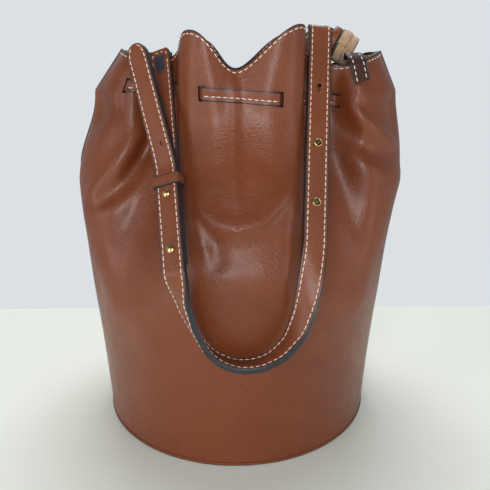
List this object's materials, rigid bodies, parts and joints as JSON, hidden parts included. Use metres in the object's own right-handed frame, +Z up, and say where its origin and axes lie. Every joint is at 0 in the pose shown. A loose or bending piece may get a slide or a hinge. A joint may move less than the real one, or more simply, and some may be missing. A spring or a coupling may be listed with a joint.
{
  "type": "bucket bag",
  "caption": "Tall leather bucket bag with a round base, a folded mouth gathered by a flat drawstring, and an adjustable shoulder strap looped down its front.",
  "frame": {"origin": "centre of the round base's underside, on the surface that the bag stands on", "axes": "+Z up, -Y towards the front where the strap hangs, +X to the right seen from the front"},
  "size_m": [0.3021, 0.3045, 0.3616],
  "materials": {
    "body_leather": "smooth semi-gloss tan-brown leather with fine grain",
    "edge_paint": "dark painted leather edge",
    "lining": "brown cotton lining",
    "board": "stiff fibre board",
    "strap_leather": "smooth brown leather with white edge stitching",
    "navy_leather": "dark navy leather patch",
    "suede": "tan flesh side, matt",
    "brass": "polished pale gold"
  },
  "bodies": {
    "bag": {"front_panel": "body_leather", "back_panel": "body_leather", "left_side_seam": "edge_paint", "right_side_seam": "edge_paint", "mouth_facing": "body_leather", "body_lining": "lining", "base_panel": "body_leather", "base_welt": "edge_paint", "base_board": "board", "base_lining": "lining", "drawstring": "strap_leather", "left_anchor": "strap_leather", "right_anchor": "strap_leather", "strap_knot": "suede"},
    "strap": {"strap_face_layer": "strap_leather", "strap_back_layer": "strap_leather", "left_chape": "strap_leather", "chape_patch": "navy_leather", "left_stud_heads": "brass", "left_stud_bases": "brass", "right_ring_studs": "brass", "right_stud_screws": "brass", "right_stud_caps": "brass"},
    "keeper": {"keeper_loop": "strap_leather"},
    "tail": {"strap_tail": "strap_leather"}
  },
  "joints": [
    {"name": "strap_swing", "type": "hinge", "parent": "bag", "child": "strap", "pos_m": [-0.0628, -0.0443, 0.341], "axis": [-0.9898, 0, -0.1426], "range_deg": [0, 205]},
    {"name": "keeper_slide", "type": "slide", "parent": "strap", "child": "keeper", "axis": [-0.1001, 0.5675, 0.8173], "range_m": [0, 0.006]},
    {"name": "tail_swing", "type": "hinge", "parent": "bag", "child": "tail", "pos_m": [0.09562, -0.0475, 0.3352], "axis": [-0.995, 0.0998, 0], "range_deg": [0, 60]}
  ]
}
